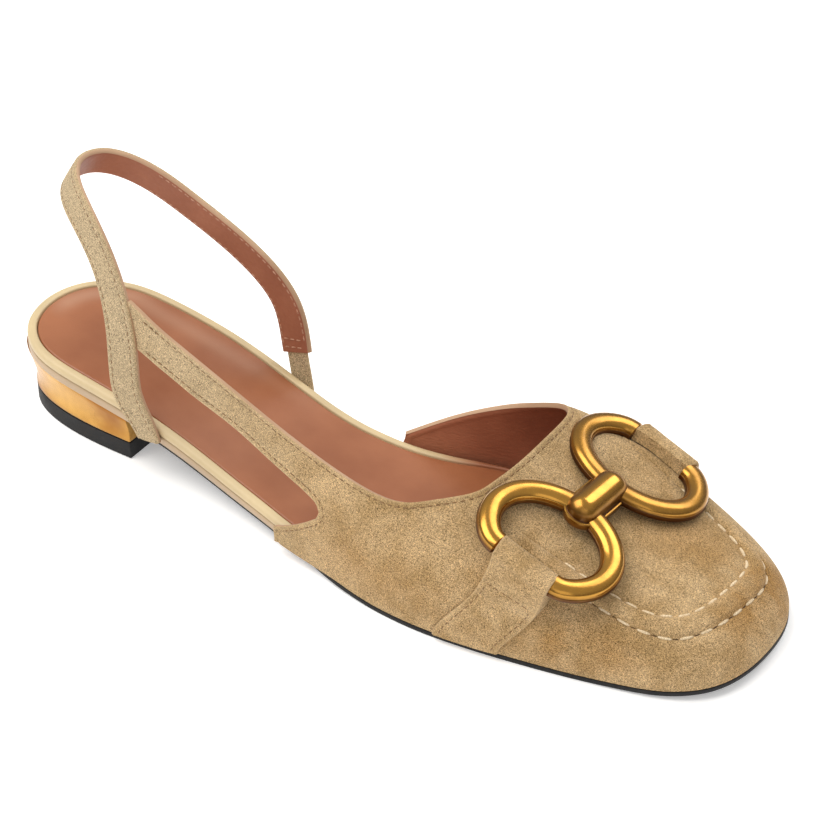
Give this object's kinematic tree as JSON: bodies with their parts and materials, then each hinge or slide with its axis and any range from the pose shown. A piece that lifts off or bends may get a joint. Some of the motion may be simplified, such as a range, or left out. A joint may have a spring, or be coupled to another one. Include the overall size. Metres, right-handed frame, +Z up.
{
  "type": "slingback flat shoe",
  "caption": "Right slingback flat with a round square toe, raised apron seam, slanted side strap with a cut-out, low block heel and a ring and link ornament on the vamp.",
  "frame": {"origin": "floor point under the middle of the shoe's box", "axes": "+X from heel to toe, +Y to the inner side of the foot, +Z up"},
  "size_m": [0.2506, 0.0838, 0.0834],
  "materials": {
    "suede": "napped tan suede",
    "rim_leather": "smooth cream leather",
    "sock_leather": "smooth brown leather",
    "black_rubber": "matte black",
    "heel_gold": "glossy gold",
    "ring_gold": "satin antique gold"
  },
  "bodies": {
    "root": {"outsole": "black_rubber", "footbed": "rim_leather", "insole_sock": "sock_leather", "heel_block": "heel_gold", "heel_lift": "black_rubber", "upper": "suede", "sling_tab": "suede", "ring_keeper_lateral": "suede", "ring_keeper_medial": "suede", "bit_ring_lateral": "ring_gold", "bit_ring_medial": "ring_gold", "ring_link": "ring_gold"}
  },
  "joints": []
}
